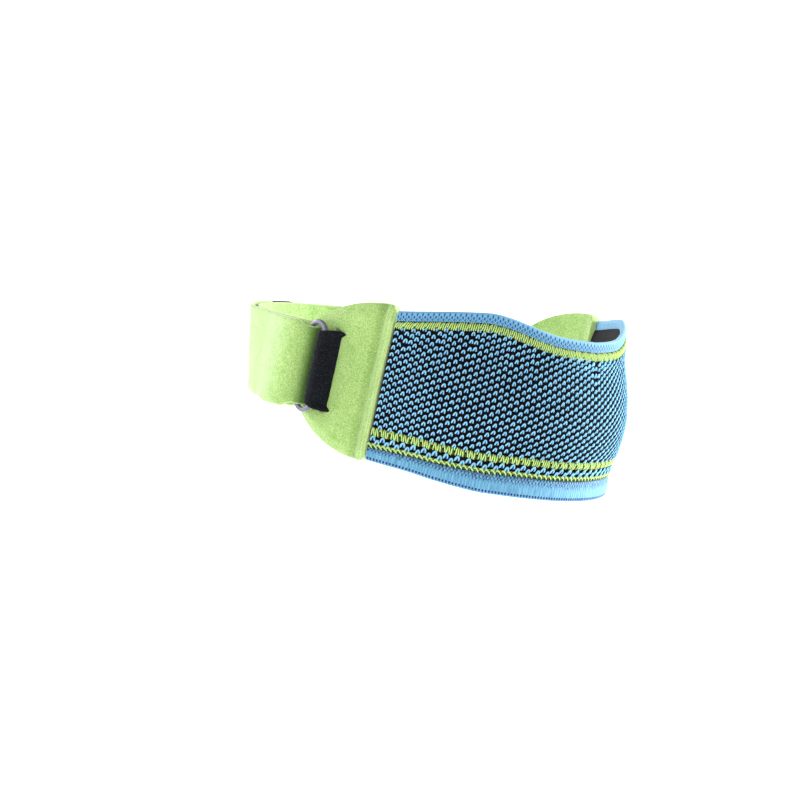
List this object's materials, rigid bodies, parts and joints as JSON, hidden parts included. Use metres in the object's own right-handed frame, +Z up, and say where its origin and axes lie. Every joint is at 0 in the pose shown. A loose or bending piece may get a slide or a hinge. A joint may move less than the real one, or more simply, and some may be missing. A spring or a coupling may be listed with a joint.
{
  "type": "knee support",
  "caption": "Knitted knee strap worn below the kneecap, closed at the side by a felt strap through a ring.",
  "frame": {"origin": "middle of the hollow for the leg, level with the middle of the ears", "axes": "+Z up along the leg towards the thigh, -Y to the front of the knee, -X to the side with the ring"},
  "size_m": [0.1154, 0.1279, 0.0533],
  "materials": {
    "knit": "two-tone knit, sky blue stitches on black",
    "edging": "sky blue elastic knit",
    "felt": "green brushed felt",
    "ring_metal": "satin grey",
    "tape": "black napped tape"
  },
  "bodies": {
    "root": {"knit_panel": "knit", "upper_rim": "edging", "lower_hem": "edging", "closure_ear": "felt", "far_ear": "felt", "ring": "ring_metal", "ring_tape": "tape", "strap": "felt", "hook_tab": "tape"}
  },
  "joints": []
}
